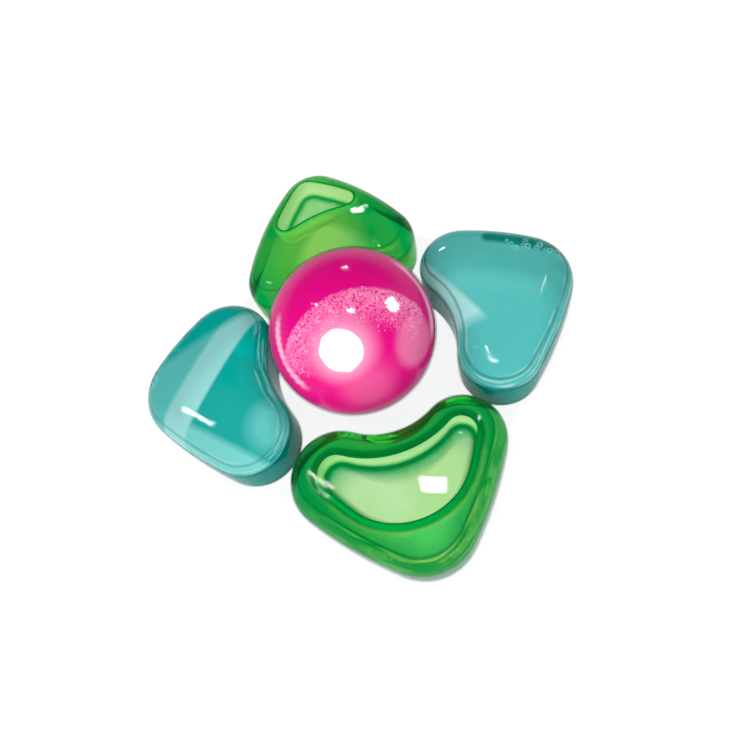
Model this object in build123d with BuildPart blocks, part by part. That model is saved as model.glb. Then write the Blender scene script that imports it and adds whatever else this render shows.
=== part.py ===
from build123d import *
from math import sqrt
import os

# A laundry capsule: one formed sheet of clear film with a ball pocket and four boomerang pockets,
# closed from below by a second sheet. Each pocket is filled with gel. All sizes are in millimetres.
# The origin is the centre of the underside and the front chamber points along -Y.

# Driving sizes
capsule_reach = 32.2  # from the centre to the tip of an average chamber
film_thickness = 0.1
rim_width = 0.7  # sealed rim outside the chambers
root_round = 0.35  # where a pocket's wall rises from the web

# Boomerang chambers
chamber_height = 12.0  # underside of the lid film to the crown of the formed film
seal_height = 3.7  # underside of the lid film to the seal between the two films
crown_radius = 68.0  # bulge of the upper film
upper_round = 3.6
lower_round = 3.5
web_valley_radius = 0.9  # edge of the web where it dips in between two chambers

# Ball chamber
ball_radius = 11.47
ball_centre_height = 12.15
ball_rest_radius = 2.0  # flat spot that the ball stands on

# Air bubbles in the green gels
bubble_depth = 4.4
bubble_upper_round = 1.5
bubble_lower_round = 1.8
bubble_lap = 0.2  # how far the film cuts the bubble's round flank short

# Outlines of the four chambers, as shares of the capsule's reach. A place is given along the direction
# that the chamber points in, then to the left of it, and then comes the radius there.
side_share = 1.7  # radius of the slightly bulged outer sides
chamber_shares = {
    "front": {
        "tip": (0.779, 0.024, 0.230),
        "left_arm": (0.546, 0.285, 0.172),
        "right_arm": (0.549, -0.243, 0.198),
        "notch_share": 0.27,
    },
    "right": {
        "tip": (0.765, 0.038, 0.224),
        "left_arm": (0.552, 0.221, 0.181),
        "right_arm": (0.554, -0.256, 0.177),
        "notch_share": 0.40,
    },
    "rear": {
        "tip": (0.866, -0.014, 0.179),
        "left_arm": (0.494, 0.253, 0.168),
        "right_arm": (0.527, -0.252, 0.172),
        "notch_share": 0.27,
    },
    "left": {
        "tip": (0.751, -0.053, 0.234),
        "left_arm": (0.565, 0.222, 0.197),
        "right_arm": (0.576, -0.239, 0.203),
        "notch_share": 0.43,
    },
}
bubble_shares = {
    "front": {
        "tip": (0.535, 0.020, 0.310),
        "left_arm": (0.556, 0.276, 0.078),
        "right_arm": (0.556, -0.232, 0.090),
        "notch_share": 0.36,
    },
    "rear": {
        "tip": (0.895, 0.005, 0.076),
        "left_arm": (0.725, 0.135, 0.074),
        "right_arm": (0.752, -0.155, 0.072),
        "notch_share": 0.70,
    },
}
crown_centre_share = 0.62  # where along the chamber the film bulges highest
web_share = 0.73  # radius of the middle of the web
outward = {
    "front": -Axis.Y.direction,
    "right": Axis.X.direction,
    "rear": Axis.Y.direction,
    "left": -Axis.X.direction,
}


def common_point(first, first_reach, second, second_reach, side):
    """The point that lies at one distance from each of two centres, on one side of the line between."""
    span = second - first
    along = (first_reach**2 - second_reach**2 + span.length**2) / (2 * span.length)
    aside = sqrt(first_reach**2 - along**2)
    return first + span.normalized() * along + span.normalized().rotate(Axis.Z, 90) * aside * side


def round_stretch(centre, radius, start_way, end_way):
    """An arc about a centre, from one direction to another."""
    start = start_way.normalized() * radius
    end = end_way.normalized() * radius
    middle = (start + end).normalized() * radius
    ThreePointArc(centre + start, centre + middle, centre + end)


def boomerang(shares, way, height, grow):
    """The outline of a chamber or bubble: three round ends, two bulged sides and a notch."""
    places = [Vector(*shares[end][:2]) * capsule_reach for end in ("tip", "left_arm", "right_arm")]
    radii = [shares[end][2] * capsule_reach for end in ("tip", "left_arm", "right_arm")]
    tip, left, right = places
    tip_radius, left_radius, right_radius = radii
    side = side_share * capsule_reach
    notch = shares["notch_share"] * capsule_reach
    left_side = common_point(tip, side - tip_radius, left, side - left_radius, 1)
    right_side = common_point(right, side - right_radius, tip, side - tip_radius, 1)
    notch_centre = common_point(left, notch + left_radius, right, notch + right_radius, -1)
    with BuildSketch(Plane(origin=(0, 0, height), x_dir=way)) as outline:
        with BuildLine():
            round_stretch(tip, tip_radius + grow, tip - right_side, tip - left_side)
            round_stretch(left_side, side + grow, tip - left_side, left - left_side)
            round_stretch(left, left_radius + grow, left - left_side, notch_centre - left)
            round_stretch(notch_centre, notch - grow, left - notch_centre, right - notch_centre)
            round_stretch(right, right_radius + grow, notch_centre - right, right - right_side)
            round_stretch(right_side, side + grow, right - right_side, tip - right_side)
        make_face()
    return outline.sketch


def pillow(shares, way, floor, roof, bulge, upper, lower, grow):
    """A boomerang body with a bulged top, a flat floor and round edges above and below."""
    crown = way * crown_centre_share * capsule_reach
    with BuildPart() as solid:
        extrude(boomerang(shares, way, floor, grow), amount=roof - floor)
        with Locations((crown.X, crown.Y, roof - bulge)):
            Sphere(bulge, mode=Mode.INTERSECT)
        fillet(solid.faces().sort_by(Axis.Z)[-1].edges(), upper)
        fillet(solid.faces().sort_by(Axis.Z)[0].edges(), lower)
    return solid.part


def chamber(name, grow):
    """One boomerang chamber, grown outwards by a film's thickness or by nothing."""
    floor = film_thickness - grow
    roof = chamber_height - film_thickness + grow
    bulge = crown_radius + grow
    return pillow(
        chamber_shares[name], outward[name], floor, roof, bulge, upper_round + grow, lower_round + grow, grow
    )


def bubble(name):
    """An air bubble under the film, with a round flank that the film above cuts short."""
    roof = chamber_height - film_thickness + bubble_lap
    floor = chamber_height - film_thickness - bubble_depth
    return pillow(
        bubble_shares[name], outward[name], floor, roof, crown_radius, bubble_upper_round, bubble_lower_round, 0
    )


def ball(grow):
    """The ball chamber, grown outwards by a film's thickness or by nothing.
    It is a true ball above its middle, and a little longer below, down to the spot it rests on."""
    radius = ball_radius - film_thickness + grow
    floor = film_thickness - grow
    inwards = ball_radius - ball_rest_radius
    lower_radius = (inwards**2 + ball_centre_height**2) / (2 * inwards)
    drop = ball_centre_height - floor
    spot = ball_radius - lower_radius + sqrt((lower_radius - film_thickness + grow) ** 2 - drop**2)
    with BuildPart() as solid:
        with BuildSketch(Plane.XZ):
            with BuildLine():
                Line((0, floor), (spot, floor))
                TangentArc((radius, ball_centre_height), (spot, floor), tangent=(0, -1))
                TangentArc((radius, ball_centre_height), (0, ball_centre_height + radius), tangent=(0, 1))
                Line((0, ball_centre_height + radius), (0, floor))
            make_face()
        revolve(axis=Axis.Z)
    return solid.part


def web(base):
    """The flat film between and around the chambers, one thickness high from its base."""
    web_radius = web_share * capsule_reach
    rims = [boomerang(chamber_shares[name], outward[name], 0, film_thickness + rim_width) for name in names]
    with BuildPart() as solid:
        with BuildSketch(Plane.XY.offset(base)) as sheet:
            Circle(web_radius)
            add(rims)
            valleys = sheet.vertices().filter_by(lambda spot: abs(Vector(spot).length - web_radius) < film_thickness)
            fillet(valleys, web_valley_radius)
        extrude(amount=film_thickness)
    return solid.part


def roots(film, side):
    """The edges where the pockets rise from the web, on its upper side (-1) or its lower side (0)."""
    flats = film.faces().filter_by(Plane.XY).sort_by(SortBy.AREA)[-2:]
    return flats.sort_by(Axis.Z)[side].inner_wires().edges()


names = list(chamber_shares)
gels = {name: chamber(name, 0) for name in names}
bubbles = {name: bubble(name) for name in bubble_shares}
ball_gel = ball(0)
skins = [chamber(name, film_thickness) for name in names] + [ball(film_thickness)]
upper_web = web(seal_height)
lower_web = web(seal_height - film_thickness)

with BuildPart() as formed_film:
    add(skins)
    split(bisect_by=Plane.XY.offset(seal_height), keep=Keep.TOP)
    add(upper_web)
    fillet(roots(formed_film, -1), root_round)
    add(list(gels.values()) + [ball_gel], mode=Mode.SUBTRACT)

with BuildPart() as lid_film:
    add(skins)
    split(bisect_by=Plane.XY.offset(seal_height), keep=Keep.BOTTOM)
    add(lower_web)
    fillet(roots(lid_film, 0), root_round)
    add(list(gels.values()) + [ball_gel], mode=Mode.SUBTRACT)

with BuildPart() as magenta_gel:
    add(ball_gel)

with BuildPart() as green_gel_front:
    add(gels["front"])
    add(bubbles["front"], mode=Mode.SUBTRACT)

with BuildPart() as teal_gel_right:
    add(gels["right"])

with BuildPart() as green_gel_rear:
    add(gels["rear"])
    add(bubbles["rear"], mode=Mode.SUBTRACT)

with BuildPart() as teal_gel_left:
    add(gels["left"])

pieces = {
    "formed_film": formed_film,
    "lid_film": lid_film,
    "magenta_gel": magenta_gel,
    "green_gel_front": green_gel_front,
    "teal_gel_right": teal_gel_right,
    "green_gel_rear": green_gel_rear,
    "teal_gel_left": teal_gel_left,
}

os.makedirs("parts", exist_ok=True)
for label, piece in pieces.items():
    piece.part.label = label
    export_step(piece.part, f"parts/{label}.step")
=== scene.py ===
import bmesh
import bpy
import math
import numpy as np
from mathutils import Matrix, Vector
from mathutils.geometry import delaunay_2d_cdt


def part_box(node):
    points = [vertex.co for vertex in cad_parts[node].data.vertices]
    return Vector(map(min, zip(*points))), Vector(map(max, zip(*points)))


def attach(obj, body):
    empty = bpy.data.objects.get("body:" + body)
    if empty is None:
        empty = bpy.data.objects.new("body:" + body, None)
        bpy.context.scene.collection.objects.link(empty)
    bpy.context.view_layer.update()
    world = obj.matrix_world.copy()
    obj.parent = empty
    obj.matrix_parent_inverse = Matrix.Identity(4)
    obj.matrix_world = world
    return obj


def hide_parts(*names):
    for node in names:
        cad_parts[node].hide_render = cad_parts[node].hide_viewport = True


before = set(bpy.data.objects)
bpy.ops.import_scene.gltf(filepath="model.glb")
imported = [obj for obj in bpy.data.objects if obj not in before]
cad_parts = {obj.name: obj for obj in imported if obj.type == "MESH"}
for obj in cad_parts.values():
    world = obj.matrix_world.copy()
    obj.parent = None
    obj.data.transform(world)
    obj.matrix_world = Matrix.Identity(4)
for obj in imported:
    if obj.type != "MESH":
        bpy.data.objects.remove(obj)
scene = bpy.context.scene
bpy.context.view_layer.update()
mm = 0.001
samePlace = 0.001 * mm  # points closer than this count as one
print("frame loaded")

# Form of the pockets, as the solids have it, and how many rings their skins take
pocket = {
    "filmThickness": 0.1 * mm,
    "gelGap": 0.015 * mm,  # keeps the gel's skin off the film's inner face
    "sealHeight": 3.7 * mm,
    "upperRound": 3.6 * mm,
    "lowerRound": 3.5 * mm,
    "crownRadius": 68.0 * mm,
    "crownReach": 0.62 * 32.2 * mm,  # a share of the capsule's reach
    "middleReach": 22.4 * mm,  # clear of a chamber's notch
    "sliceHeight": 5.2 * mm,  # where the walls stand upright
    "pointsRound": 288,
    "upperRings": 13,
    "lowerRings": 11,
    "topRings": 14,
    "floorRings": 8,
}
bubbleForm = {
    "depth": 4.4 * mm,
    "upperRound": 1.5 * mm,
    "lowerRound": 1.8 * mm,
    "lap": 0.2 * mm,  # how far the film cuts the round flank short
    "spacing": 0.36 * mm,
    "sheetTurn": 0.5,  # share of the chamber's round edge below which its rings stop
    "sink": 0.015 * mm,
    "sliceUp": 0.05 * mm,  # over the lower round, where the bubble is widest
    "flankRings": 9,
    "bendRings": 12,
    "halvings": 24,  # steps of the search for where flank and film meet
    "floorCoarser": 2,  # times the spacing, on the bubble's floor
    "floorFade": 2.0 * mm,
    # millimetres outside the rim, and the bubble's share there
    "collar": [(0, 0.15), (0.9, 0.1), (1.2, 0.06), (1.5, 0.03), (1.9, 0)],
}
chambers = {
    "green_gel_front": {"way": (0, -1), "collar": 1.0},
    "teal_gel_right": {"way": (1, 0), "froth": ((22.6, 7.9, 10.5), (30.9, 2.2, 10.5))},
    "green_gel_rear": {"way": (0, 1), "collar": 0.5},
    "teal_gel_left": {"way": (-1, 0), "froth": ((-29.9, 4.1, 9.5), (-20.6, 13.6, 9.5))},
}
frothReach = 1.5 * mm  # how far small air bubbles lie from the line they follow
outlineForm = {
    "finerBy": 8,  # times more points while an outline is smoothed
    "reach": 0.35 * mm,  # how far each smoothing reaches to both sides
    "runs": 3,
}
sheetForm = {
    "rowShare": 0.866,  # rows of a grid of triangles, as a share of its spacing
    "clearShare": 0.6,  # grid points nearer to a ring than this share of the spacing are left out
    "tolerance": 1e-7,
}


def sliceLoops(nodeName, height):
    # the closed outlines of a solid at one height, longest first
    bm = bmesh.new()
    bm.from_mesh(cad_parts[nodeName].data)
    bmesh.ops.remove_doubles(bm, verts=bm.verts, dist=samePlace)
    everything = bm.verts[:] + bm.edges[:] + bm.faces[:]
    bmesh.ops.bisect_plane(
        bm, geom=everything, dist=samePlace / 10, plane_co=(0, 0, height), plane_no=(0, 0, 1),
        clear_inner=True, clear_outer=True)
    left = set(bm.verts)
    loops = []
    while left:
        start = here = left.pop()
        loop, came = [start], None
        while True:
            came = next(edge for edge in here.link_edges if edge != came)
            here = came.other_vert(here)
            if here == start:
                break
            left.discard(here)
            loop.append(here)
        loops.append(np.array([v.co[:2] for v in loop]))
    bm.free()
    return sorted(loops, key=lambda loop: -stepLengths(loop).sum())


def stepLengths(loop):
    return np.linalg.norm(np.roll(loop, -1, 0) - loop, axis=1)


def smoothLoop(loop, count, way):
    # evenly spaced points on a smooth curve, anticlockwise, starting where the chamber's tip points
    area = (loop[:, 0] * np.roll(loop[:, 1], -1) - loop[:, 1] * np.roll(loop[:, 0], -1)).sum()
    loop = loop if area > 0 else loop[::-1]
    along = np.concatenate([[0], np.cumsum(stepLengths(loop))])
    closed = np.vstack([loop, loop[:1]])
    dense = outlineForm["finerBy"] * count
    places = np.linspace(0, along[-1], dense, endpoint=False)
    fine = np.stack([np.interp(places, along, closed[:, axis]) for axis in (0, 1)], 1)
    spread = int(outlineForm["reach"] / (along[-1] / dense))
    for _ in range(outlineForm["runs"]):
        fine = sum(np.roll(fine, shift, 0) for shift in range(-spread, spread + 1)) / (2 * spread + 1)
    middle = fine.mean(0)
    tip = np.argmax((fine - middle) @ np.array(way))
    return np.roll(fine, -tip, 0)[::outlineForm["finerBy"]]


def loopNormals(loop):
    along = np.roll(loop, -1, 0) - np.roll(loop, 1, 0)
    along /= np.linalg.norm(along, axis=1)[:, None]
    return np.stack([along[:, 1], -along[:, 0]], 1)


def wallOf(name, grow):
    # a chamber's outline moved outwards, and the directions it was moved in
    normals = loopNormals(outlines[name])
    return outlines[name] + normals * grow, normals


def raised(flat, height):
    # points of a loop with a height of their own or one for all
    return np.column_stack([flat, np.broadcast_to(height, len(flat))])


def setShare(mesh, name, values):
    # one value at each point of a mesh, for its material to read
    layer = mesh.attributes.new(name, "FLOAT", "POINT")
    layer.data.foreach_set("value", np.array(values, dtype=np.float32))


def meshPoints(mesh):
    points = np.zeros(len(mesh.vertices) * 3)
    mesh.vertices.foreach_get("co", points)
    return points.reshape(-1, 3)


def newSkin():
    # points and faces of one surface, with what its material needs to know at each point
    return {"points": [], "faces": [], "profile": [], "bubble": []}


def addRing(skin, ring, profile=0, bubble=0):
    first = len(skin["points"])
    skin["points"] += [tuple(point) for point in ring]
    skin["profile"] += list(np.broadcast_to(profile, len(ring)))
    skin["bubble"] += list(np.broadcast_to(bubble, len(ring)))
    return list(range(first, first + len(ring)))


def joinRings(skin, rings):
    for one, other in zip(rings, rings[1:]):
        following = one[1:] + one[:1], other[1:] + other[:1]
        skin["faces"] += list(zip(one, following[0], following[1], other))


def closeRing(skin, ring, pole, profile=0):
    tip = addRing(skin, [pole], profile)[0]
    skin["faces"] += [(i, j, tip) for i, j in zip(ring, ring[1:] + ring[:1])]


def isInside(places, loop):
    x, y = places[:, 0, None], places[:, 1, None]
    startX, startY = loop.T
    endX, endY = np.roll(loop, -1, 0).T
    rise = np.where(endY == startY, 1e-12, endY - startY)
    crossed = ((startY > y) != (endY > y)) & (x < (endX - startX) * (y - startY) / rise + startX)
    return crossed.sum(1) % 2 == 1


def distanceTo(places, loop):
    return np.sqrt(((places[:, None] - loop[None]) ** 2).sum(2).min(1))


def isBetween(places, flats):
    # inside the first ring and outside all others
    return isInside(places, flats[0]) & ~np.any([isInside(places, flat) for flat in flats[1:]], axis=0)


def fillSheet(skin, outer, holes, spacing, height, profileAt=None, bubbleAt=None):
    # triangles between closed rings, with points spread evenly over the sheet between them
    rings = [outer] + holes
    flats = [np.array([skin["points"][i][:2] for i in ring]) for ring in rings]
    low, high = flats[0].min(0), flats[0].max(0)
    across = np.arange(low[0], high[0], spacing)
    rows = np.arange(low[1], high[1], spacing * sheetForm["rowShare"])
    grid = np.array([(x + spacing / 2 * (row % 2), y) for row, y in enumerate(rows) for x in across])
    grid = grid[isBetween(grid, flats)]
    for flat in flats:
        grid = grid[distanceTo(grid, flat) > spacing * sheetForm["clearShare"]]
    profile, bubble = (shareAt(grid, flats) if shareAt else 0 for shareAt in (profileAt, bubbleAt))
    inner = addRing(skin, raised(grid, height(grid) if callable(height) else height), profile, bubble)
    places = np.vstack(flats + [grid]) / mm
    index = sum(rings, []) + inner
    edges, first = [], 0
    for ring in rings:
        edges += [(first + i, first + (i + 1) % len(ring)) for i in range(len(ring))]
        first += len(ring)
    found = delaunay_2d_cdt([Vector(place) for place in places], edges, [], 0, sheetForm["tolerance"])
    source = [origin[0] if origin else -1 for origin in found[3]]
    triangles = np.array([[source[i] for i in face] for face in found[2] if len(face) == 3])
    triangles = triangles[(triangles >= 0).all(1)]
    kept = isBetween(places[triangles].mean(1) * mm, flats)
    skin["faces"] += [tuple(index[i] for i in triangle) for triangle in triangles[kept]]


def skinMesh(name, skin, sharpAngle=50):
    # a smooth mesh with its faces outwards and only real corners kept sharp
    mesh = bpy.data.meshes.new(name)
    mesh.from_pydata(skin["points"], [], skin["faces"])
    bm = bmesh.new()
    bm.from_mesh(mesh)
    bmesh.ops.recalc_face_normals(bm, faces=bm.faces)
    bm.to_mesh(mesh)
    bm.free()
    for share in ("profile", "bubble"):
        setShare(mesh, share, skin[share])
    mesh.polygons.foreach_set("use_smooth", [True] * len(mesh.polygons))
    mesh.set_sharp_from_angle(angle=math.radians(sharpAngle))
    mesh.update()
    return mesh


def addPiece(name, data):
    piece = bpy.data.objects.new(name, data)
    scene.collection.objects.link(piece)
    return piece


def crownHeight(flat, way, grow):
    # height of the bulged upper film over a place
    centre = np.array(way) * pocket["crownReach"]
    radius = pocket["crownRadius"] + grow
    return chamberTop + grow - radius + np.sqrt(radius**2 - ((flat - centre) ** 2).sum(1))


def roundedEdge(wall, normals, way, top, bulge, edge, turn):
    # the round edge between an upright wall (turn 0) and a bulged top (turn 1)
    centre = np.array([*(np.array(way) * pocket["crownReach"]), top - bulge])
    inner = wall - normals * edge
    height = centre[2] + np.sqrt((bulge - edge) ** 2 - ((inner - centre[:2]) ** 2).sum(1))
    hub = raised(inner, height)
    out, up = raised(normals, 0), (hub - centre) / (bulge - edge)
    angle = np.arccos(np.clip((out * up).sum(1), -1, 1))
    first, second = (np.sin(share * angle)[:, None] for share in (1 - turn, turn))
    return hub + edge * ((first * out + second * up) / np.sin(angle)[:, None])


def topHeight(flat, name, grow):
    # height of a chamber's top over a place, its round edge included
    way, edge = chambers[name]["way"], pocket["upperRound"] + grow
    wall = fineLoop(wallOf(name, grow)[0])
    gaps = ((flat[:, None] - wall[None]) ** 2).sum(2)
    nearest = wall[gaps.argmin(1)]
    inwards = np.sqrt(gaps.min(1))
    short = np.clip(edge - inwards, 0, edge)
    hub = flat + (flat - nearest) / inwards[:, None] * short[:, None]
    return crownHeight(hub, way, grow) - edge + np.sqrt(edge**2 - short**2)


def fineLoop(loop):
    steps = [loop + (np.roll(loop, -1, 0) - loop) * share for share in (0, 0.25, 0.5, 0.75)]
    return np.stack(steps, 1).reshape(-1, 2)


def quarterTurns(count):
    return [(math.sin(turn), math.cos(turn)) for turn in np.linspace(0, math.pi / 2, count)]


def roundedTop(wall, normals, way, grow):
    top, bulge, edge = chamberTop + grow, pocket["crownRadius"] + grow, pocket["upperRound"] + grow
    turns = np.linspace(0, 1, pocket["upperRings"])
    return [roundedEdge(wall, normals, way, top, bulge, edge, turn) for turn in turns]


def roundedBottom(wall, normals, grow):
    # rings of the round edge below, from the flat underside out to the wall
    edge = pocket["lowerRound"] + grow
    floor = pocket["filmThickness"] - grow
    return [raised(wall - normals * (edge * (1 - sine)), floor + edge * (1 - cosine))
            for sine, cosine in quarterTurns(pocket["lowerRings"])]


def toCentre(ring, centre, count):
    # rings that shrink evenly towards a point
    return [centre + (ring - centre) * (1 - (i + 1) / (count + 1)) for i in range(count)]


def middlePoint(way, height):
    # where the rings of a chamber's top and floor close
    return np.array([*(np.array(way) * pocket["middleReach"]), height])


def crownRings(lid, way, grow, count):
    # rings over the bulged top, from its round edge in to the middle, and the point they close on
    centre = np.array([way]) * pocket["middleReach"]
    pole = raised(centre, crownHeight(centre, way, grow))[0]
    flats = [ring[:, :2] for ring in toCentre(lid, pole, count)]
    return [raised(flat, crownHeight(flat, way, grow)) for flat in flats], pole


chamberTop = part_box("green_gel_rear")[1][2]
height, count = pocket["sliceHeight"], pocket["pointsRound"]
outlines = {name: smoothLoop(sliceLoops(name, height)[0], count, chamber["way"])
            for name, chamber in chambers.items()}
print("outlines read", {name: round(stepLengths(loop).sum() / mm, 1) for name, loop in outlines.items()})

# Where each stretch of a chamber's profile lies between the middle of its top (0) and of its underside (1)
profileShare = {"lid": 0.4, "upperEdge": 0.55, "wall": 0.65, "lowerEdge": 0.8, "floorEdge": 0.82}
# The same for a bubble, from outside its rim (0) to the middle of its floor (1)
bubbleShare = {"rim": 0.15, "flank": 0.45, "bend": 0.5, "floor": 0.8}


def addRings(skin, rings, start, end, bubbleStart=0, bubbleEnd=0):
    profiles = np.linspace(start, end, len(rings))
    bubbles = np.linspace(bubbleStart, bubbleEnd, len(rings))
    return [addRing(skin, *values) for values in zip(rings, profiles, bubbles)]


def gelMesh(name, chamber):
    gap, way = -pocket["gelGap"], chamber["way"]
    wall, normals = wallOf(name, gap)
    share = profileShare
    skin = newSkin()
    lowerRings = roundedBottom(wall, normals, gap)
    floorPole = middlePoint(way, pocket["filmThickness"] - gap)
    floorRings = toCentre(lowerRings[0], floorPole, pocket["floorRings"])[::-1]
    base = addRings(skin, floorRings, 1, share["floorEdge"])
    lower = addRings(skin, lowerRings, share["lowerEdge"], share["wall"])
    upperRings = roundedTop(wall, normals, way, gap)
    closeRing(skin, base[0], floorPole, 1)
    if "collar" in chamber:
        count = int(len(upperRings) * bubbleForm["sheetTurn"])
        end = (share["upperEdge"] + share["lid"]) / 2
        upper = addRings(skin, upperRings[:count], share["upperEdge"], end)
        joinRings(skin, base + lower + upper)
        addBubble(skin, name, way, upper[-1], gap)
    else:
        upper = addRings(skin, upperRings, share["upperEdge"], share["lid"])
        count = pocket["topRings"]
        inside, pole = crownRings(upperRings[-1], way, gap, count)
        inside = addRings(skin, inside, share["lid"] * count / (count + 1), share["lid"] / (count + 1))
        joinRings(skin, base + lower + upper + inside)
        closeRing(skin, inside[-1], pole)
    return skinMesh(name, skin)


def addBubble(skin, name, way, border, gap):
    # from the chamber's round edge in to the bubble's rim, down its flank and over its floor
    form, share = bubbleForm, bubbleShare
    lowest = chamberTop - form["depth"]
    loops = sliceLoops(name, lowest + form["lowerRound"] + form["sliceUp"])
    widest = smoothLoop(loops[1], pocket["pointsRound"], way)
    normals = loopNormals(widest)

    def flank(turn):
        top = chamberTop + form["lap"]
        return roundedEdge(widest, normals, way, top, pocket["crownRadius"], form["upperRound"], turn)

    def sheet(flat):
        return topHeight(flat, name, gap) - form["sink"]

    def profileAt(flat, loops):
        wall = distanceTo(flat, fineLoop(outlines[name])) / pocket["upperRound"]
        span = profileShare["upperEdge"] - profileShare["lid"]
        return profileShare["lid"] + span * np.clip(1 - wall, 0, 1) ** 2

    def collarAt(flat, loops):
        places, shares = zip(*form["collar"])
        return np.interp(distanceTo(flat, fineLoop(loops[1])) / mm / chambers[name]["collar"], places, shares)

    def floorAt(flat, loops):
        inwards = np.clip(distanceTo(flat, loops[0]) / form["floorFade"], 0, 1)
        return share["floor"] + (1 - share["floor"]) * inwards

    low, high = np.zeros(len(widest)), np.ones(len(widest))
    for _ in range(form["halvings"]):
        middle = (low + high) / 2
        ring = flank(middle)
        above = ring[:, 2] > sheet(ring[:, :2])
        low, high = np.where(above, low, middle), np.where(above, middle, high)
    flanks = [flank(low * turn) for turn in np.linspace(1, 0, form["flankRings"])]
    rings = addRings(skin, flanks, 0, 0, share["rim"], share["flank"])
    bend = form["lowerRound"]
    bends = [raised(widest - normals * bend * (1 - cosine), lowest + bend * (1 - sine))
             for sine, cosine in quarterTurns(form["bendRings"])]
    rings += addRings(skin, bends, 0, 0, share["bend"], share["floor"])
    joinRings(skin, rings)
    fillSheet(skin, border, [rings[0]], form["spacing"], sheet, profileAt, collarAt)
    fillSheet(skin, rings[-1], [], form["spacing"] * form["floorCoarser"], lowest, None, floorAt)


def paintFroth(mesh, ends):
    # how densely small air bubbles lie under the skin at each point
    start, end = np.array(ends) * mm
    points = meshPoints(mesh) - start
    along = np.clip(points @ (end - start) / ((end - start) @ (end - start)), 0, 1)
    away = np.linalg.norm(points - along[:, None] * (end - start), axis=1)
    setShare(mesh, "froth", np.clip(1 - away / frothReach, 0, 1))


gels = {name: addPiece(name + "_fill", gelMesh(name, chamber)) for name, chamber in chambers.items()}
for name, chamber in chambers.items():
    if "froth" in chamber:
        paintFroth(gels[name].data, chamber["froth"])
print("gels made", {name: len(piece.data.polygons) for name, piece in gels.items()})

ballForm = {
    "restRadius": 2.0 * mm,
    "gelSink": 0.12 * mm,  # the gel's skin lies this far inside the solid, to leave room for granules
    "around": 224,
    "rows": 72,
    "floorRings": 3,
    "smallestRing": 0.01 * mm,
}
ballLow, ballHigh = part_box("magenta_gel")
ballRadius = (ballHigh[0] - ballLow[0]) / 2


def ballRings(grow, lowest, highest):
    # rings of the ball chamber between two heights: a true ball above its middle, longer below
    film = pocket["filmThickness"]
    radius, middle, outer = ballRadius + grow, ballHigh[2] - ballRadius, ballRadius + film
    inwards = outer - ballForm["restRadius"]
    lowerRadius = (inwards**2 + middle**2) / (2 * inwards)
    hub = outer - lowerRadius
    lowerRadius += grow - film
    start = math.asin(max(-1, (lowest - middle) / lowerRadius))
    end = math.asin(min(1, (highest - middle) / radius))
    turns = np.linspace(start, 0, ballForm["rows"] // 2, endpoint=False)
    heights = [(hub + lowerRadius * math.cos(turn), middle + lowerRadius * math.sin(turn)) for turn in turns]
    turns = np.linspace(0, end, ballForm["rows"] // 2)
    heights += [(radius * math.cos(turn), middle + radius * math.sin(turn)) for turn in turns]
    angles = np.linspace(0, 2 * math.pi, ballForm["around"], endpoint=False)
    circle = np.stack([np.cos(angles), np.sin(angles)], 1)
    return [raised(circle * r, z) for r, z in heights if r > ballForm["smallestRing"]]


sink = ballForm["gelSink"]
skin = newSkin()
rings = ballRings(-sink, ballLow[2] + sink, ballHigh[2] - sink)
floorPole = np.array([0, 0, ballLow[2] + sink])
rings = toCentre(rings[0], floorPole, ballForm["floorRings"])[::-1] + rings
rings = [addRing(skin, ring) for ring in rings]
joinRings(skin, rings)
closeRing(skin, rings[0], floorPole)
closeRing(skin, rings[-1], np.array([0, 0, ballHigh[2] - sink]))
ballGel = addPiece("magenta_gel_fill", skinMesh("magenta_gel", skin))

# Directions on the ball are seen from its middle, angles are in degrees
ballPattern = {
    "granuleAxis": (0.032, -0.909, 0.415),
    "granuleOuter": 59.0,
    "granuleInner": 30.0,
    "granuleFade": (-6, -0.5, 1.5),  # from the outer angle: full from, full to, gone
    "granuleArc": (12, 166),  # from the right, over the top, to the left
    "arcFade": (8, 6),  # at the right end and at the left end
    # painted light: a glow round the highlight, and lighter patches low on the ball and on its right
    "glows": [  # direction, full strength within, gone beyond, strength
        ((-0.143, -0.636, 0.758), 12, 29, 1.0),
        ((0.0, -0.95, 0.31), 6, 26, 0.3),
        ((0.66, -0.64, 0.40), 12, 21, 0.6),
    ],
    # painted reflections: pale crescents near the ball's outline, in bands of angles round an axis that
    # points back to the camera
    "rimReflectionAxis": (0.037, -0.489, 0.872),
    "rimReflections": [  # middle, reach along the edge, and the band of angles from the axis with its soft edges
        ((-0.80, -0.32, 0.51), 30, (52, 54.5, 58, 60)),
        ((0.90, -0.10, 0.40), 34, (62, 65, 69, 72)),
    ],
    "rimReflectionCore": 0.6,  # share of a seam's reach that has its full strength
}


def fade(value, start, end):
    share = np.clip((value - start) / (end - start), 0, 1)
    return share * share * (3 - 2 * share)


def angleFrom(ways, axis):
    axis = np.array(axis) / np.linalg.norm(axis)
    return np.degrees(np.arccos(np.clip(ways @ axis, -1, 1)))


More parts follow.
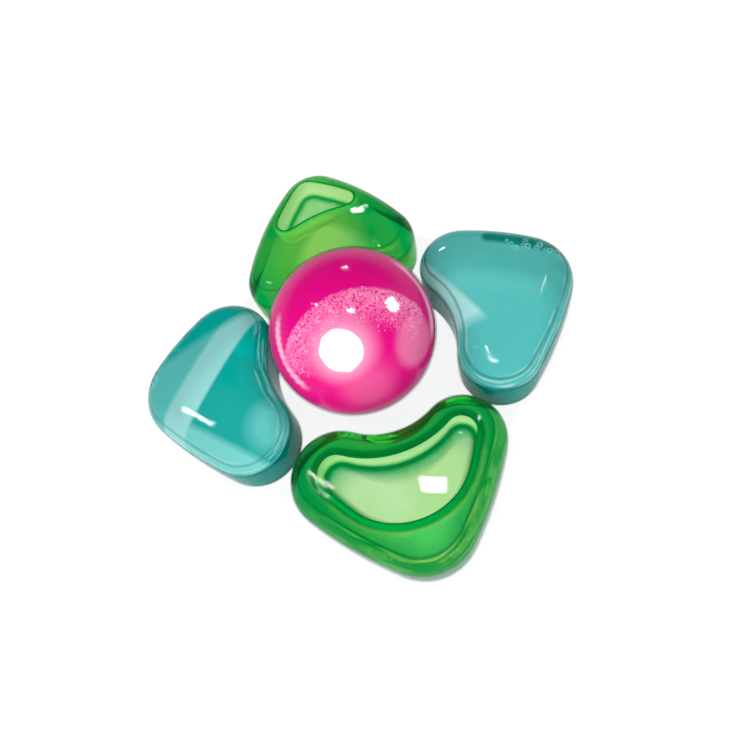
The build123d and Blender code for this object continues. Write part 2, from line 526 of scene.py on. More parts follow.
def paintBall(mesh):
    # how much granule, painted glow and painted rim reflection lies at each point of the ball
    pattern = ballPattern
    ways = meshPoints(mesh) - np.array([0, 0, ballHigh[2] - ballRadius])
    ways /= np.linalg.norm(ways, axis=1)[:, None]
    axis = np.array(pattern["granuleAxis"])
    level = np.cross((0, 0, 1), axis)
    level /= np.linalg.norm(level)
    around = np.degrees(np.arctan2(ways @ np.cross(axis, level), ways @ level))
    angle = angleFrom(ways, axis)
    fullFrom, fullTo, gone = (pattern["granuleOuter"] + step for step in pattern["granuleFade"])
    (start, end), (rise, fall) = pattern["granuleArc"], pattern["arcFade"]
    granule = fade(angle, pattern["granuleInner"], fullFrom) * (1 - fade(angle, fullTo, gone))
    granule *= fade(around, start, start + rise) * (1 - fade(around, end - fall, end))
    glow = np.max([strength * (1 - fade(angleFrom(ways, way), full, gone))
                   for way, full, gone, strength in pattern["glows"]], axis=0)
    turn, rimReflection = angleFrom(ways, pattern["rimReflectionAxis"]), 0
    for way, reach, (inner, fullFrom, fullTo, edge) in pattern["rimReflections"]:
        band = fade(turn, inner, fullFrom) * (1 - fade(turn, fullTo, edge))
        core = reach * pattern["rimReflectionCore"]
        rimReflection = np.maximum(rimReflection, band * (1 - fade(angleFrom(ways, way), core, reach)))
    for share, values in (("granule", granule), ("glow", glow), ("rimReflection", rimReflection)):
        setShare(mesh, share, values)


paintBall(ballGel.data)
print("ball made", len(ballGel.data.polygons))

filmForm = {
    "rootRound": 0.35 * mm,
    "rootSteps": 5,
    "domeRings": 8,
    "webSpacing": 1.2 * mm,
    "edgePoints": 600,
    "skinShare": 0.9,  # of the film's thickness, so that the film stays clear of the gels
    "sharpAngle": 80,
    "rootGap": 0.05 * mm,  # least height from a root's last ring down to the next ring
}


def rootRings(wall, normals, side):
    # the small round between the web and a pocket's wall, side 1 above the web and -1 below it
    bend = filmForm["rootRound"]
    seal = pocket["sealHeight"] + side * pocket["filmThickness"]
    return [raised(wall + normals * (bend * (1 - sine)), seal + side * bend * (1 - cosine))
            for sine, cosine in quarterTurns(filmForm["rootSteps"])]


def domeRings(name, chamber):
    # outer face of the formed film over one chamber, from its root on the web up
    grow, way = pocket["filmThickness"], chamber["way"]
    wall, normals = wallOf(name, grow)
    upper = roundedTop(wall, normals, way, grow)
    inside, pole = crownRings(upper[-1], way, grow, filmForm["domeRings"])
    return rootRings(wall, normals, 1) + upper + inside, pole


def bowlRings(name, chamber):
    # outer face of the lid film under one chamber, from its root on the web down
    grow = pocket["filmThickness"]
    wall, normals = wallOf(name, grow)
    root = rootRings(wall, normals, -1)
    lowest = root[-1][0][2] - filmForm["rootGap"]
    lower = [ring for ring in roundedBottom(wall, normals, grow)[::-1] if ring[0][2] < lowest]
    pole = middlePoint(chamber["way"], 0)
    return root + lower + toCentre(lower[-1], pole, pocket["floorRings"]), pole


def filmPiece(name, cups, edge, height, outwards):
    # one sheet of film: its outer face, the flat web with its cups, and then its thickness
    skin = newSkin()
    border = addRing(skin, raised(edge, height))
    roots = []
    for cup, pole in cups:
        rings = [addRing(skin, ring) for ring in cup]
        joinRings(skin, rings)
        closeRing(skin, rings[-1], pole)
        roots.append(rings[0])
    fillSheet(skin, border, roots, filmForm["webSpacing"], height)
    mesh = skinMesh(name, skin, filmForm["sharpAngle"])
    if mesh.polygons[-1].normal.z * outwards < 0:  # the web's faces come last
        mesh.flip_normals()
    piece = addPiece(name + "_skin", mesh)
    solid = piece.modifiers.new("thickness", "SOLIDIFY")
    solid.thickness = pocket["filmThickness"] * filmForm["skinShare"]
    solid.offset = -1
    weight = piece.modifiers.new("normals", "WEIGHTED_NORMAL")
    weight.keep_sharp = True
    return piece


def ballCup(rings, side):
    foot = rings[0][:, :2]
    normals = foot / np.linalg.norm(foot, axis=1)[:, None]
    return rootRings(foot, normals, side)[:-1] + rings


film = pocket["filmThickness"]
rootTop = film + filmForm["rootRound"]
webOutline = sliceLoops("formed_film", pocket["sealHeight"] + film / 2)[0]
webEdge = smoothLoop(webOutline, filmForm["edgePoints"], (0, -1))
topOfBall = ballHigh[2] + film
cups = [domeRings(name, chamber) for name, chamber in chambers.items()]
ballDome = ballCup(ballRings(film, pocket["sealHeight"] + rootTop, topOfBall), 1)
cups.append((ballDome, np.array([0, 0, topOfBall])))
formedFilm = filmPiece("formed_film", cups, webEdge, pocket["sealHeight"] + film, 1)

cups = [bowlRings(name, chamber) for name, chamber in chambers.items()]
lowest = pocket["sealHeight"] - rootTop
ballBowl = [ring for ring in ballRings(film, 0, lowest) if ring[0][2] <= lowest + samePlace][::-1]
pole = np.zeros(3)
cups.append((ballCup(ballBowl, -1) + toCentre(ballBowl[-1], pole, ballForm["floorRings"]), pole))
lidFilm = filmPiece("lid_film", cups, webEdge, pocket["sealHeight"] - film, -1)
print("films made", len(formedFilm.data.polygons), len(lidFilm.data.polygons))


def setInputs(node, values):
    # inputs by name or number, each given a value or linked to a socket or to a node's first output
    for name, value in values.items():
        socket = node.inputs[name]
        if isinstance(value, bpy.types.Node):
            value = value.outputs[0]
        if isinstance(value, bpy.types.NodeSocket):
            node.id_data.links.new(value, socket)
        else:
            socket.default_value = (*value, 1) if socket.type == "RGBA" else value


def addNode(tree, kind, values={}):
    node = tree.nodes.new("ShaderNode" + kind)
    setInputs(node, values)
    return node


def newMaterial(name):
    material = bpy.data.materials.new(name)
    material.use_nodes = True
    tree = material.node_tree
    tree.nodes.clear()
    return material, tree, addNode(tree, "OutputMaterial")


def colorRamp(value, stops):
    ramp = addNode(value.id_data, "ValToRGB", {"Fac": value})
    marks = ramp.color_ramp.elements
    marks.remove(marks[-1])
    for index, (place, color) in enumerate(stops):
        mark = marks[0] if index == 0 else marks.new(place)
        mark.position = place
        mark.color = (*color, 1) if isinstance(color, tuple) else (color, color, color, 1)
    return ramp.outputs["Color"]


def fadeIn(value, fade, level=1):
    return colorRamp(value, zip(fade, (0, level)))


def bandOf(value, band, level=1):
    # from 0 up to a level and back to 0
    return colorRamp(value, zip(band, (0, level, level, 0)))


def lookRamp(value, look, marks):
    # a ramp whose stops name colours or single numbers of the look
    return colorRamp(value, [(place, look[key]) for place, key in look[marks]])


def mixColors(factor, first, second):
    mix = addNode(factor.id_data, "Mix")
    mix.data_type = "RGBA"
    setInputs(mix, {0: factor, 6: first, 7: second})
    return mix.outputs[2]


def mixShaders(factor, first, second):
    return addNode(factor.id_data, "MixShader", {0: factor, 1: first, 2: second})


def pointValue(tree, name):
    node = addNode(tree, "Attribute")
    node.attribute_name = name
    return node.outputs["Fac"]


def mathNode(operation, first, second):
    node = addNode(first.id_data, "Math", {0: first, 1: second})
    node.operation = operation
    return node


def noisePattern(tree, scale, detail=3.0):
    place = addNode(tree, "TexCoord").outputs["Object"]
    return addNode(tree, "TexNoise", {"Scale": scale, "Detail": detail, "Vector": place}).outputs["Fac"]


def placeShare(tree, way, start, full):
    # 0 to 1 between two distances, in millimetres: along a direction (x, y), or from a point (x, y, z)
    along = len(way) == 2
    measure = addNode(tree, "VectorMath", {0: addNode(tree, "TexCoord").outputs["Object"]})
    measure.operation = "DOT_PRODUCT" if along else "DISTANCE"
    measure.inputs[1].default_value = (*way, 0) if along else Vector(way) * mm
    limits = {"From Min": start * mm, "From Max": full * mm}
    return addNode(tree, "MapRange", {"Value": measure.outputs["Value"], **limits})


def paintStripes(tree, look, color):
    for key, way, start, full in look["stripes"]:
        color = mixColors(placeShare(tree, way, start, full), color, look[key])
    return color


granuleForm = {
    "radius": 0.15 * mm, "sink": 0.08 * mm, "smallest": 0.4, "perArea": 34.0e6, "seed": 7, "detail": 1,
}
frothForm = {
    "radius": 0.5 * mm, "sink": 0.52 * mm, "smallest": 0.4, "perArea": 2.0e6, "seed": 3, "detail": 2,
}
fullTurn = 6.28
# sockets of a random value's number kind: its least and what it gives
numberLeast, numberGiven = 2, 1


def scatterTree(name, material, detail):
    # small spheres on a surface, as dense as one of its attributes says, sunk a little below it
    tree = bpy.data.node_groups.new(name, "GeometryNodeTree")
    sockets = {"Geometry": "Geometry", "radius": "Float", "sink": "Float", "smallest": "Float",
               "perArea": "Float", "seed": "Int", "share": "String"}
    for label, kind in sockets.items():
        tree.interface.new_socket(label, in_out="INPUT", socket_type="NodeSocket" + kind)
    tree.interface.new_socket("Geometry", in_out="OUTPUT", socket_type="NodeSocketGeometry")
    kinds = {
        "start": "NodeGroupInput", "end": "NodeGroupOutput", "spread": "GeometryNodeDistributePointsOnFaces",
        "share": "GeometryNodeInputNamedAttribute", "down": "ShaderNodeVectorMath",
        "way": "ShaderNodeVectorMath", "move": "GeometryNodeSetPosition", "ball": "GeometryNodeMeshIcoSphere",
        "size": "FunctionNodeRandomValue", "turn": "FunctionNodeRandomValue",
        "place": "GeometryNodeInstanceOnPoints", "solid": "GeometryNodeRealizeInstances",
        "dress": "GeometryNodeSetMaterial", "density": "ShaderNodeMath",
    }
    nodes = {key: tree.nodes.new(kind) for key, kind in kinds.items()}
    nodes["share"].data_type = "FLOAT"
    nodes["down"].operation = nodes["way"].operation = "SCALE"
    nodes["way"].inputs["Scale"].default_value = -1
    nodes["ball"].inputs["Subdivisions"].default_value = detail
    nodes["turn"].data_type = "FLOAT_VECTOR"
    nodes["turn"].inputs["Max"].default_value = (fullTurn,) * 3
    nodes["dress"].inputs["Material"].default_value = material
    nodes["density"].operation = "MULTIPLY"
    for source, outlet, target, inlet in [
            ("start", "Geometry", "spread", "Mesh"), ("start", "share", "share", "Name"),
            ("share", "Attribute", "density", 0), ("start", "perArea", "density", 1),
            ("density", 0, "spread", "Density"), ("start", "seed", "spread", "Seed"),
            ("spread", "Normal", "way", 0), ("way", 0, "down", 0), ("start", "sink", "down", "Scale"),
            ("spread", "Points", "move", "Geometry"), ("down", 0, "move", "Offset"),
            ("move", 0, "place", "Points"), ("start", "radius", "ball", "Radius"),
            ("ball", "Mesh", "place", "Instance"), ("start", "smallest", "size", numberLeast),
            ("start", "seed", "size", "Seed"), ("start", "seed", "turn", "Seed"),
            ("turn", "Value", "place", "Rotation"), ("size", numberGiven, "place", "Scale"),
            ("place", 0, "solid", 0), ("solid", 0, "dress", "Geometry"), ("dress", 0, "end", 0)]:
        tree.links.new(nodes[source].outputs[outlet], nodes[target].inputs[inlet])
    return tree


def scatterOver(name, base, share, form, material):
    # a piece of its own, made of the small spheres that the tree puts on a gel
    tree = scatterTree(name, material, form["detail"])
    host = addPiece(name, base.data.copy())
    spread = host.modifiers.new("scatter", "NODES")
    spread.node_group = tree
    values = {**form, "share": share}
    for socket in tree.interface.items_tree:
        if socket.in_out == "INPUT" and socket.name in values:
            spread[socket.identifier] = values[socket.name]
    result = host.evaluated_get(bpy.context.evaluated_depsgraph_get())
    mesh = bpy.data.meshes.new_from_object(result)
    bpy.data.objects.remove(host)
    mesh.name = name
    mesh.polygons.foreach_set("use_smooth", [True] * len(mesh.polygons))
    return addPiece(name, mesh)


filmLook = {
    "clear": (0.997, 0.999, 0.999), "roughness": 0.01, "index": 1.3, "gloss": 0.35, "wrinkle": 0.02,
    "wrinkleHeight": 0.1 * mm, "wrinkleScale": 260.0, "tint": (0.4, 0.5, 0.5), "density": 480.0,
}


def clearFilmMaterial(look):
    material, tree, output = newMaterial("clearFilm")
    clear = addNode(tree, "BsdfTransparent", {"Color": look["clear"]})
    bump = addNode(tree, "Bump", {
        "Strength": look["wrinkle"], "Distance": look["wrinkleHeight"],
        "Height": noisePattern(tree, look["wrinkleScale"])})
    gloss = addNode(tree, "BsdfGlossy", {"Roughness": look["roughness"], "Normal": bump})
    share = mathNode("MULTIPLY", addNode(tree, "Fresnel", {"IOR": look["index"]}), look["gloss"])
    outer = mixShaders(share, clear, gloss)
    side = addNode(tree, "NewGeometry")  # the inner face of the film adds no gloss of its own
    shown = mixShaders(side.outputs["Backfacing"], outer, clear)
    absorb = addNode(tree, "VolumeAbsorption", {"Color": look["tint"], "Density": look["density"]})
    setInputs(output, {"Surface": shown, "Volume": absorb})
    return material


def gelMaterial(name, look, color, clearness=None):
    # clear or milky gel, tinted at its surface and through its depth
    material, tree, output = newMaterial(name)
    gel = addNode(tree, "BsdfPrincipled", {
        "Base Color": color(tree, look), "Roughness": look["roughness"], "IOR": look["index"],
        "Transmission Weight": clearness(tree, look) if clearness else look["clear"],
        "Specular IOR Level": look["gloss"], "Coat Weight": look["polish"], "Coat Roughness": coatRoughness})
    through = addNode(tree, "BsdfTransparent", {"Color": look["shadow"]})
    path = addNode(tree, "LightPath")
    shown = mixShaders(path.outputs["Is Shadow Ray"], gel, through)
    setInputs(output, {"Surface": shown})
    if look["density"]:
        absorb = addNode(tree, "VolumeAbsorption", {"Color": look["absorb"], "Density": look["density"]})
        setInputs(output, {"Volume": absorb})
    return material


coatRoughness = 0.03
# Marks place colours along a profile or bubble. Fades and bands say where a tint starts, is full and ends
# Painted light and shade in the green gel: the darker rim, the dark line, the dark wall and the dark rings
# round the bubble are painted shade; the pale streaks along the round edge are painted reflections; the glow
# and the bubble's pale flank and floor are painted light; the deep stripes darken sides as painted shade, and
# deep is also a random darker tone
greenLook = {
    "clear": 0.9, "roughness": 0.02, "index": 1.12, "shadow": (0.6, 0.9, 0.55), "polish": 0.0, "gloss": 0.2,
    "absorb": (0.45, 0.75, 0.2), "density": 100.0, "flankClear": 0.4, "floorClear": 0.85,
    "top": (0.03, 0.68, 0.13), "deep": (0.0, 0.46, 0.14), "glow": (0.36, 0.78, 0.10),
    "line": (0.0, 0.28, 0.07), "rim": (0.01, 0.52, 0.09), "reflectionStreak": (0.75, 0.95, 0.25),
    "wall": (0.0, 0.30, 0.09), "underside": (0.75, 0.95, 0.72), "collar": (0.10, 0.66, 0.14),
    "ring": (0.0, 0.26, 0.06), "flank": (0.75, 0.92, 0.5), "bubbleFloor": (0.92, 0.97, 0.85),
    "bubbleShade": (0.74, 0.90, 0.55),
    "stripes": [  # colour, direction or point, where it starts and where it is full, in millimetres
        # painted shade darkening two sides, then a patch of painted light
        ("deep", (-1, 0), 8, 13),
        ("deep", (0.9, 0.45), 2, 6),
        ("glow", (0, -10, 11), 10, 4),
    ],
    "cloudScale": 70.0, "cloudFade": (0.4, 0.65), "streakScale": (170.0, 75.0), "streakFade": (0.47, 0.55),
    "poolScale": 120.0, "poolFade": (0.42, 0.62), "rimFade": (0.445, 0.452), "sideFade": (0.51, 0.53),
    "lineBand": (0.434, 0.438, 0.446, 0.452), "lineShare": 0.8, "floorFade": (0.71, 0.78),
    "bubbleFade": (0.01, 0.06),
    "sideMarks": [(0.53, "line"), (0.56, "wall"), (0.79, "wall"), (0.86, "underside")],
    "bubbleMarks": [(0.06, "collar"), (0.105, "ring"), (0.16, "ring"), (0.2, "flank"), (0.64, "flank"),
                    (0.67, "ring"), (0.71, "ring")],
    "clearMarks": [(0.15, "clear"), (0.2, "flankClear"), (0.6, "flankClear"), (0.66, "clear"),
                   (0.72, "clear"), (0.8, "floorClear")],
}
# A lighter copy of the green look for the rear chamber, with its own painted light and shade: a lighter rim,
# wall and rings, its own glow and darker stripes
litRearGreenLook = {
    **greenLook, "top": (0.08, 0.68, 0.12), "deep": (0.0, 0.46, 0.16), "rim": (0.10, 0.62, 0.12),
    "glow": (0.30, 0.75, 0.14), "wall": (0.08, 0.52, 0.10), "ring": (0.0, 0.34, 0.08),
    "absorb": (0.6, 0.8, 0.35),
    "stripes": [("glow", (-1, 17, 11), 8, 3), ("deep", (1, 0), 6, 11), ("deep", (-1, -0.25), 4, 8)],
}


def rimNoise(tree, along, across):
    # noise drawn out along the round edge of a chamber
    place = addNode(tree, "TexCoord").outputs["Object"]
    parts = addNode(tree, "SeparateXYZ", {0: place}).outputs
    joined = addNode(tree, "CombineXYZ", {
        0: mathNode("MULTIPLY", parts[0], along), 1: mathNode("MULTIPLY", parts[1], along),
        2: mathNode("MULTIPLY", pointValue(tree, "profile"), across)})
    noise = {"Scale": 1.0, "Detail": 2.0, "Vector": joined}
    return addNode(tree, "TexNoise", noise).outputs["Fac"]


def greenClearness(tree, look):
    return lookRamp(pointValue(tree, "bubble"), look, "clearMarks")


# Body: a random cloudy tone with a darker rim, a dark line and a dark wall as painted shade, stripes of
# painted light and shade, and pale streaks along the round edge as painted reflections. Bubble: dark rings as
# painted shade, and a paler flank and floor as painted light with a random mottled tone
def greenColor(tree, look):
    profile, bubble = pointValue(tree, "profile"), pointValue(tree, "bubble")
    cloud = fadeIn(noisePattern(tree, look["cloudScale"]), look["cloudFade"])
    top = mixColors(cloud, look["top"], look["deep"])
    # pale streaks along the round edge: painted reflections
    reflectionStreaks = fadeIn(rimNoise(tree, *look["streakScale"]), look["streakFade"])
    rim = mixColors(reflectionStreaks, look["rim"], look["reflectionStreak"])
    side = lookRamp(profile, look, "sideMarks")
    body = mixColors(fadeIn(profile, look["rimFade"]), top, rim)
    body = paintStripes(tree, look, body)
    body = mixColors(fadeIn(profile, look["sideFade"]), body, side)
    mark = bandOf(profile, look["lineBand"], look["lineShare"])
    body = mixColors(mark, body, look["line"])
    inside = lookRamp(bubble, look, "bubbleMarks")
    pools = fadeIn(noisePattern(tree, look["poolScale"], detail=1.0), look["poolFade"])
    base = mixColors(pools, look["bubbleFloor"], look["bubbleShade"])
    inside = mixColors(fadeIn(bubble, look["floorFade"]), inside, base)
    return mixColors(fadeIn(bubble, look["bubbleFade"]), body, inside)


# Teal chambers: a face with stripes of painted light and shade, each laid over the last, and a round edge
# with its fine dark lines and dark wall of painted shade
tealLook = {
    "clear": 0.6, "sideClear": 0.2, "roughness": 0.04, "index": 1.12, "shadow": (0.6, 0.9, 0.88),
    "polish": 0.0, "gloss": 0.2, "absorb": (0.2, 0.75, 0.72), "density": 40.0,
    "centre": (0.12, 0.60, 0.58), "pale": (0.70, 1.0, 0.98), "upper": (0.20, 0.78, 0.75),
    "line": (0.0, 0.17, 0.14), "wall": (0.0, 0.24, 0.20), "underside": (0.25, 0.7, 0.68),
    "air": (0.5, 0.85, 0.83), "cloud": 0.1, "lineShare": 0.6, "marbleShare": 0.55, "airShare": 0.7,
    "stripes": [
        # painted light: lighter towards the upper side and a thin pale line; then the darker centre colour
        # again further down
        ("upper", (0.2, 1), 1, 9),
        ("pale", (-0.94, -0.34), -15.3, -14.6),
        ("centre", (0, -1), 3.0, 5.0),
    ],
    "cloudScale": 60.0, "cloudFade": (0.35, 0.7), "marbleScale": (210.0, 90.0), "marbleFade": (0.52, 0.58),
    "marbleBand": (0.455, 0.465, 0.52, 0.54), "lineBand": (0.466, 0.471, 0.477, 0.484),
    "sideFade": (0.51, 0.53), "airFade": (0.0, 0.3),
    "sideMarks": [(0.53, "line"), (0.56, "wall"), (0.64, "wall"), (0.68, "line"), (0.74, "line"),
                  (0.82, "underside")],
    "clearMarks": [(0.5, "clear"), (0.53, "sideClear"), (0.66, "sideClear"), (0.72, "clear")],
}
# A darker copy of the teal look for the left chamber, with its own painted light and shade: a darker centre
# with lighter stripes round it
shadedTealLook = {
    **tealLook, "centre": (0.0, 0.42, 0.36), "pale": (0.48, 0.90, 0.88), "side": (0.16, 0.70, 0.67),
    "clear": 0.5, "upper": (0.0, 0.52, 0.46), "blob": (0.16, 0.66, 0.63), "low": (0.26, 0.74, 0.71),
    "cloud": 0.06, "lineShare": 0.4,
    "stripes": [
        ("upper", (0.64, 0.77), -8.6, -7.6),
        ("blob", (-13.8, -9.0, 11.5), 4.6, 2.2),
        ("low", (-0.68, -0.73), 20.0, 21.0),
        ("pale", (-0.748, 0.664), 15.1, 15.6),
        ("side", (-0.748, 0.664), 19.3, 20.0),
        ("upper", (-0.3, 0.95), 13.2, 14.6),
    ],
}


def tealClearness(tree, look):
    # milky down the side, and quite clear over the small air bubbles
    gel = lookRamp(pointValue(tree, "profile"), look, "clearMarks")
    bubbles = fadeIn(pointValue(tree, "froth"), look["airFade"])
    return mixColors(bubbles, gel, (1.0, 1.0, 1.0))


# the face's stripes are painted light and shade; the dark wall and the dark lines round the edge are painted
# shade
def tealColor(tree, look):
    profile = pointValue(tree, "profile")
    cloud = fadeIn(noisePattern(tree, look["cloudScale"]), look["cloudFade"], look["cloud"])
    face = mixColors(cloud, look["centre"], look["pale"])
    face = paintStripes(tree, look, face)
    air = mathNode("MULTIPLY", pointValue(tree, "froth"), look["airShare"])
    face = mixColors(air, face, look["air"])
    side = lookRamp(profile, look, "sideMarks")
    body = mixColors(fadeIn(profile, look["sideFade"]), face, side)
    marbling = fadeIn(rimNoise(tree, *look["marbleScale"]), look["marbleFade"], look["marbleShare"])
    rim = bandOf(profile, look["marbleBand"])
    body = mixColors(mathNode("MULTIPLY", marbling, rim), body, look["pale"])
    mark = bandOf(profile, look["lineBand"], look["lineShare"])
    return mixColors(mark, body, look["line"])


# The ball's own deep magenta, with painted light over it: a glow round the highlight, lighter patches, and
# pale crescents near its outline as painted reflections
magentaLook = {
    "clear": 0.0, "roughness": 0.3, "index": 1.37, "shadow": (0.0, 0.0, 0.0), "polish": 0.13, "density": 0,
    "gloss": 0.02, "deep": (0.70, 0.0, 0.20), "glow": (0.80, 0.24, 0.42), "dust": (0.80, 0.16, 0.38),
    "rimReflection": (0.92, 0.40, 0.60), "grainScale": 3200.0, "grainFade": (0.42, 0.5),
}


# deep magenta, then painted glow, then painted rim reflections, then the granules' pale dust
def magentaColor(tree, look):
    glow = mixColors(pointValue(tree, "glow"), look["deep"], look["glow"])
    rimReflected = mixColors(pointValue(tree, "rimReflection"), glow, look["rimReflection"])
    grain = fadeIn(noisePattern(tree, look["grainScale"]), look["grainFade"])
    dust = mathNode("MULTIPLY", grain, pointValue(tree, "granule"))
    return mixColors(dust, rimReflected, look["dust"])


granuleLook = {
    "pale": (0.88, 0.34, 0.56), "dark": (0.74, 0.06, 0.30), "grainScale": 900.0,
    "grainMarks": [(0.4, "dark"), (0.6, "pale")], "roughness": 0.6, "gloss": 0.03,
}
frothLook = {"pale": (0.85, 1.0, 0.99), "roughness": 0.1, "edgeBlend": 0.5}


def granuleMaterial(look):
    material, tree, output = newMaterial("paleGranules")
    shade = lookRamp(noisePattern(tree, look["grainScale"]), look, "grainMarks")
    grain = addNode(tree, "BsdfPrincipled", {
        "Base Color": shade, "Roughness": look["roughness"], "Specular IOR Level": look["gloss"]})
    setInputs(output, {"Surface": grain})
    return material


def frothMaterial(look):
    material, tree, output = newMaterial("airBubbles")
    air = addNode(tree, "BsdfPrincipled", {"Base Color": look["pale"], "Roughness": look["roughness"]})
    edge = addNode(tree, "LayerWeight", {"Blend": look["edgeBlend"]})
    clear = addNode(tree, "BsdfTransparent")
    shown = mixShaders(edge.outputs["Facing"], clear, air)
    setInputs(output, {"Surface": shown})
    return material


filmMaterial = clearFilmMaterial(filmLook)
green, teal = (greenColor, greenClearness), (tealColor, tealClearness)
gelMaterials = [
    ("green_gel_front", "green_gel", gelMaterial("greenGel", greenLook, *green)),
    ("teal_gel_right", "teal_gel", gelMaterial("tealGel", tealLook, *teal)),
    ("green_gel_rear", "green_gel", gelMaterial("litRearGreenGel", litRearGreenLook, *green)),
    ("teal_gel_left", "teal_gel", gelMaterial("shadedTealGel", shadedTealLook, *teal)),
]
magentaMaterial = gelMaterial("magentaGel", magentaLook, magentaColor)
granules = scatterOver("magenta_gel_granules", ballGel, "granule", granuleForm, granuleMaterial(granuleLook))
print("granules made", len(granules.data.polygons))
airMaterial = frothMaterial(frothLook)
froth = {name: scatterOver(name + "_bubbles", gels[name], "froth", frothForm, airMaterial)
         for name, chamber in chambers.items() if "froth" in chamber}
print("small bubbles made", [len(piece.data.polygons) for piece in froth.values()])

pieces = [
    (formedFilm, "formed_film", "clear_film", filmMaterial),
    (lidFilm, "lid_film", "clear_film", filmMaterial),
    (ballGel, "magenta_gel", "magenta_gel", magentaMaterial),
    (granules, "magenta_gel", "magenta_gel", None),
]
pieces += [(gels[name], name, slot, material) for name, slot, material in gelMaterials]
pieces += [(piece, name, "teal_gel", None) for name, piece in froth.items()]
for piece, node, slot, material in pieces:
    if material:
        piece.data.materials.append(material)
    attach(piece, "root")
    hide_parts(node)
print("pieces dressed")

# Floor, light and camera
studio = {
    "floorSize": 3.0,
    "floorDrop": 0.02 * mm,
    "floorColor": 0.8,
    "shownColor": 0.12,  # share of the floor, where it is seen, that takes the shadow
    "shownGlow": 0.95,
    "worldLevel": 0.78,
    "ceilingLevel": 0.15,  # what the film mirrors from straight above
    "ceilingFade": (0.02, 0.22),
    "cardDistance": 0.4,
}
lamps = {  # sizes in metres, turns in degrees, and away as a share of cardDistance
    "key": {"way": (-0.346, -0.721, 0.600), "size": 0.6, "power": 3.3, "away": 1.6, "fills": True},
    "roundCard": {"way": (-0.346, -0.721, 0.600), "size": 0.42, "power": 110.0, "onBall": True},
    "smallCard": {"way": (0.883, 0.009, 0.469), "size": 0.13, "power": 12.0, "onBall": True},
    "windowCard": {"way": (11.7, -10.1, 90.3), "size": 0.013, "sizeY": 0.008, "power": 0.07, "turn": 110,
                   "away": 0.229},
    "leftCard": {"way": (-0.446, 0.326, 0.834), "size": 0.09, "sizeY": 0.01, "power": 0.25, "turn": 80},
    "rightCard": {"way": (0.481, 0.382, 0.789), "size": 0.04, "sizeY": 0.008, "power": 0.1, "turn": 100},
    "lowCard": {"way": (0.054, 0.15, 0.987), "size": 0.012, "sizeY": 0.022, "power": 0.06},
    "rearCard": {"way": (16.9, 62.3, 53.8), "size": 0.006, "sizeY": 0.0028, "power": 0.006, "away": 0.21},
}


def seenRays(tree):
    # 1 for what the camera, a mirror or a clear piece looks at
    path = addNode(tree, "LightPath").outputs
    seen = mathNode("ADD", path["Is Camera Ray"], path["Is Glossy Ray"])
    return mathNode("MINIMUM", mathNode("ADD", seen, path["Is Transmission Ray"]), 1.0)


half = studio["floorSize"] / 2
floorMesh = bpy.data.meshes.new("floor")
corners = [(-half, -half, 0), (half, -half, 0), (half, half, 0), (-half, half, 0)]
floorMesh.from_pydata(corners, [], [(0, 1, 2, 3)])
floor = addPiece("floor", floorMesh)
floor.location.z = -studio["floorDrop"]
material, tree, output = newMaterial("whiteFloor")
paint = addNode(tree, "BsdfDiffuse", {"Color": (studio["floorColor"],) * 3})
shadowPaint = addNode(tree, "BsdfDiffuse", {"Color": (studio["shownColor"],) * 3})
glow = addNode(tree, "Emission", {"Strength": studio["shownGlow"]})
both = addNode(tree, "AddShader", {0: shadowPaint, 1: glow})
setInputs(output, {"Surface": mixShaders(seenRays(tree), paint, both)})
floorMesh.materials.append(material)

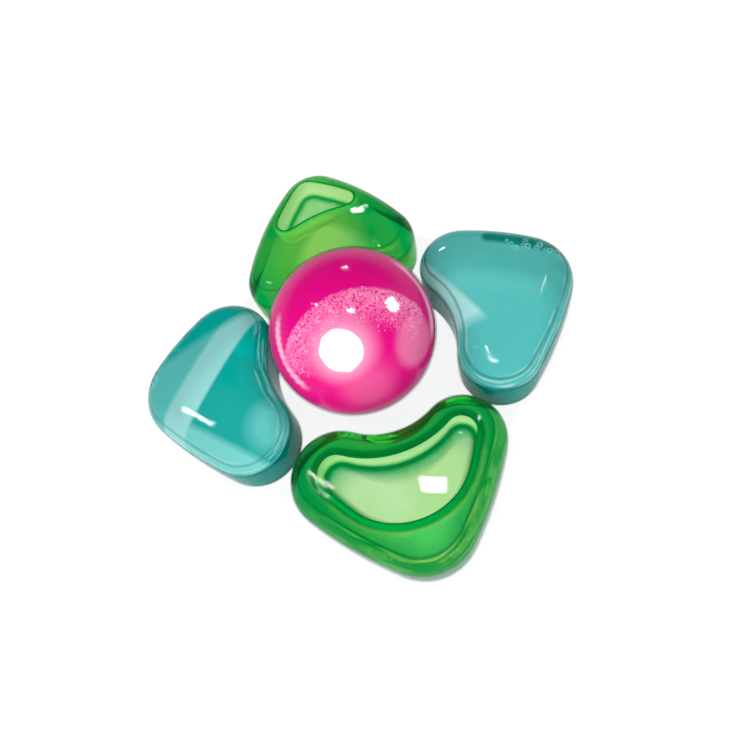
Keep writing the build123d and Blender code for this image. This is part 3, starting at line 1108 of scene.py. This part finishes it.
world = bpy.data.worlds.new("studio")
scene.world = world
world.use_nodes = True
tree = world.node_tree
lightLevel = tree.nodes["Background"]
setInputs(lightLevel, {"Color": (1, 1, 1), "Strength": studio["worldLevel"]})
parts = addNode(tree, "SeparateXYZ", {0: addNode(tree, "TexCoord").outputs["Generated"]})
overhead = colorRamp(parts.outputs["Z"], zip(studio["ceilingFade"], (1, studio["ceilingLevel"])))
path = addNode(tree, "LightPath")
mirrored = mixColors(path.outputs["Is Glossy Ray"], (1, 1, 1), overhead)
backdrop = addNode(tree, "Background", {"Color": mirrored})
setInputs(tree.nodes["World Output"], {"Surface": mixShaders(seenRays(tree), lightLevel, backdrop)})


def areaLight(name, way, size, power, sizeY=None, turn=0, away=1, fills=False, onBall=False):
    # a soft light in a given direction: it fills the scene, or only puts a highlight on what is glossy
    data = bpy.data.lights.new(name, "AREA")
    data.shape = "RECTANGLE" if sizeY else "DISK"
    data.size, data.size_y, data.energy = size, sizeY or size, power
    lamp = addPiece(name, data)
    lamp.location = Vector(way).normalized() * studio["cardDistance"] * away
    aim = (-lamp.location).to_track_quat("-Z", "Y").to_matrix() @ Matrix.Rotation(math.radians(turn), 3, "Z")
    lamp.rotation_euler = aim.to_euler()
    lamp.visible_diffuse = lamp.visible_transmission = fills
    lamp.visible_glossy = not fills
    lamp.visible_camera = False
    if onBall:
        lamp.light_linking.receiver_collection = ballCards


ballCards = bpy.data.collections.new("ballOnly")
ballCards.objects.link(ballGel)
ballCards.objects.link(granules)
for name, lamp in lamps.items():
    areaLight(name, **lamp)

camera = {
    "azimuth": 4.3, "elevation": 60.66, "roll": -23.08, "distance": 86.85 * mm,
    "target": (0, 0, 5.195 * mm), "focalLength": 28.79, "shift": (0.0103, -0.0210), "clipStart": 0.005,
}
turn, lift, roll = (math.radians(camera[key]) for key in ("azimuth", "elevation", "roll"))
back = Vector((math.sin(turn) * math.cos(lift), -math.cos(turn) * math.cos(lift), math.sin(lift)))
right = Vector((0, 0, 1)).cross(back).normalized()
up = back.cross(right)
rolledRight = right * math.cos(roll) + up * math.sin(roll)
rolledUp = up * math.cos(roll) - right * math.sin(roll)
cameraData = bpy.data.cameras.new("camera")
cameraData.lens = camera["focalLength"]
cameraData.shift_x, cameraData.shift_y = camera["shift"]
cameraData.clip_start = camera["clipStart"]
cameraObject = addPiece("camera", cameraData)
place = Vector(camera["target"]) + back * camera["distance"]
axes = Matrix((rolledRight, rolledUp, back)).transposed().to_4x4()
cameraObject.matrix_world = Matrix.Translation(place) @ axes
scene.camera = cameraObject
scene.view_settings.view_transform = "Standard"
print("studio ready")
